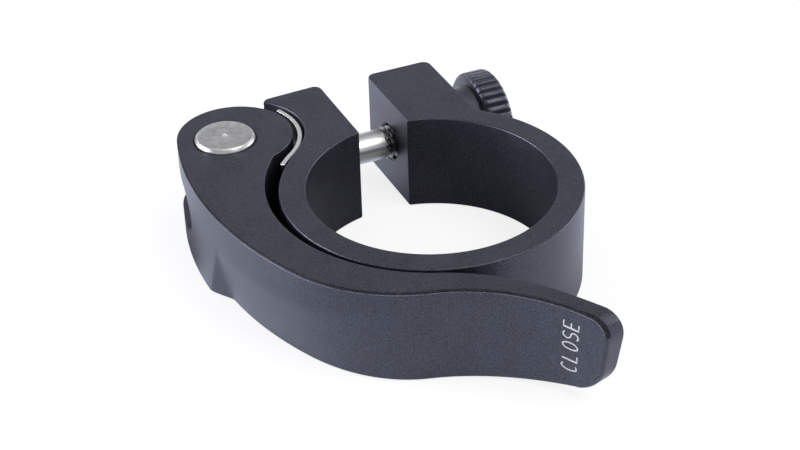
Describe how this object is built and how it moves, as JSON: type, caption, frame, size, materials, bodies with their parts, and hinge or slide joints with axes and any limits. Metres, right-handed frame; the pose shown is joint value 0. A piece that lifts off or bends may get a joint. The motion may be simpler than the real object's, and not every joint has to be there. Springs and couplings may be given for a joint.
{
  "type": "quick release seatpost clamp",
  "caption": "Split ring clamp with two ears, a cross rod, a curved over-centre cam lever on a barrel pin, a thin cam saddle and a knurled adjusting nut.",
  "frame": {"origin": "bore axis at the collar's bottom face", "axes": "+Z along the bore, from the bottom face to the top; +Y from the bore axis to the ears; +X along the rod, from the cam lever to the nut"},
  "size_m": [0.0521, 0.0721, 0.0154],
  "materials": {
    "collar": "satin black anodised, bead blasted",
    "lever": "satin black anodised, bead blasted",
    "nut": "satin black anodised",
    "saddle": "polished stainless plate",
    "pin": "turned and polished",
    "rod": "bright drawn, rolled thread"
  },
  "bodies": {
    "clamp": {"collar": "collar", "saddle": "saddle"},
    "rod": {"rod": "rod", "barrel_pin": "pin"},
    "lever": {"lever": "lever"},
    "nut": {"nut": "nut"}
  },
  "joints": [
    {"name": "nut_turn", "type": "hinge", "parent": "clamp", "child": "nut", "pos_m": [0.0143, 0.0241, 0.0074], "axis": [1, 0, 0], "range_deg": [0, 1800]},
    {"name": "rod_slide", "type": "slide", "parent": "clamp", "child": "rod", "axis": [-1, 0, 0], "range_m": [0, 0.004]},
    {"name": "lever_pivot", "type": "hinge", "parent": "rod", "child": "lever", "pos_m": [-0.0217, 0.0241, 0.0074], "axis": [0, 0, -1], "range_deg": [0, 180]}
  ],
  "couplings": [
    {"joint": "nut_turn", "follows": "rod_slide", "rad_per_m": 7853.9}
  ]
}
